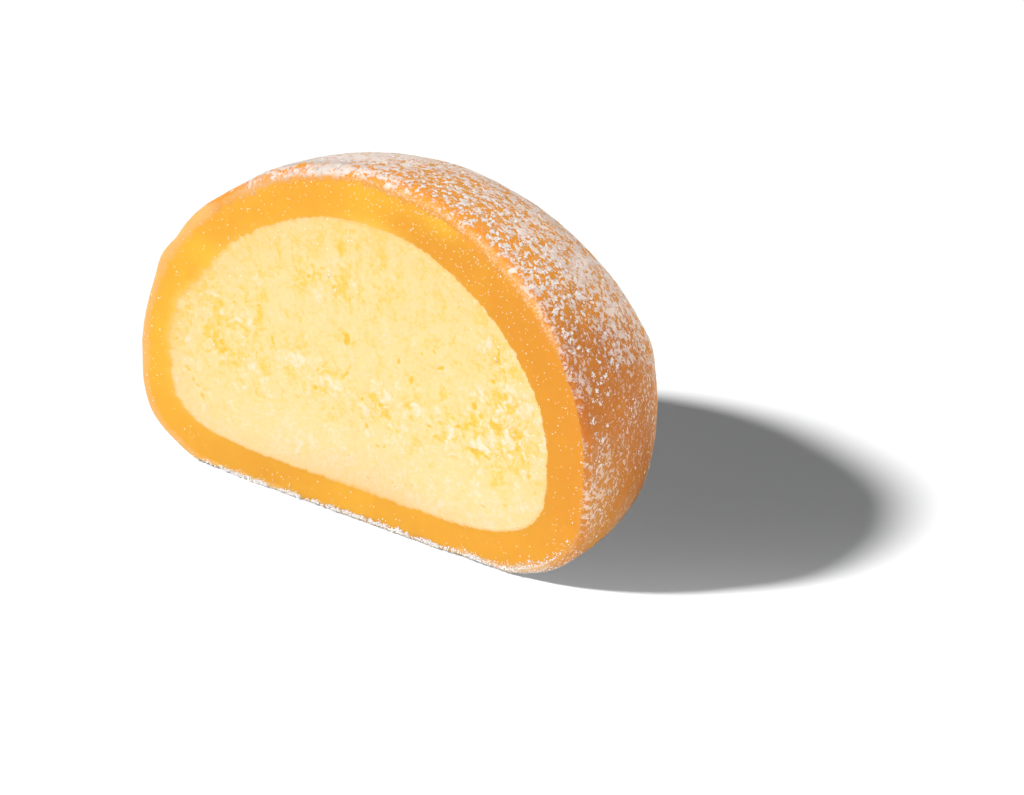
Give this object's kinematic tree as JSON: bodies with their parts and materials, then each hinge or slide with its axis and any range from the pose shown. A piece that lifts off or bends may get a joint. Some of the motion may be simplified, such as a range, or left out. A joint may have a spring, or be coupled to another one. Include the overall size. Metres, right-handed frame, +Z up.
{
  "type": "mochi rice cake half",
  "caption": "Half of a round filled mochi rice cake, cut straight down, with a soft powdered dough skin round a pale crumbly filling that shows at the flat cut face.",
  "frame": {"origin": "middle of the box of the half cake, on the surface it stands on", "axes": "+X along the straight cut, to the right as one looks at the cut face; the cut face looks along -Y and the round back lies at +Y; +Z up"},
  "size_m": [0.044, 0.0222, 0.0277],
  "materials": {
    "dough": "soft orange rice dough, slightly see-through at its cut, dusted with pale starch powder outside",
    "filling": "pale yellow crumbly cream filling, matt"
  },
  "bodies": {
    "root": {"dough_skin": "dough", "filling": "filling"}
  },
  "joints": []
}
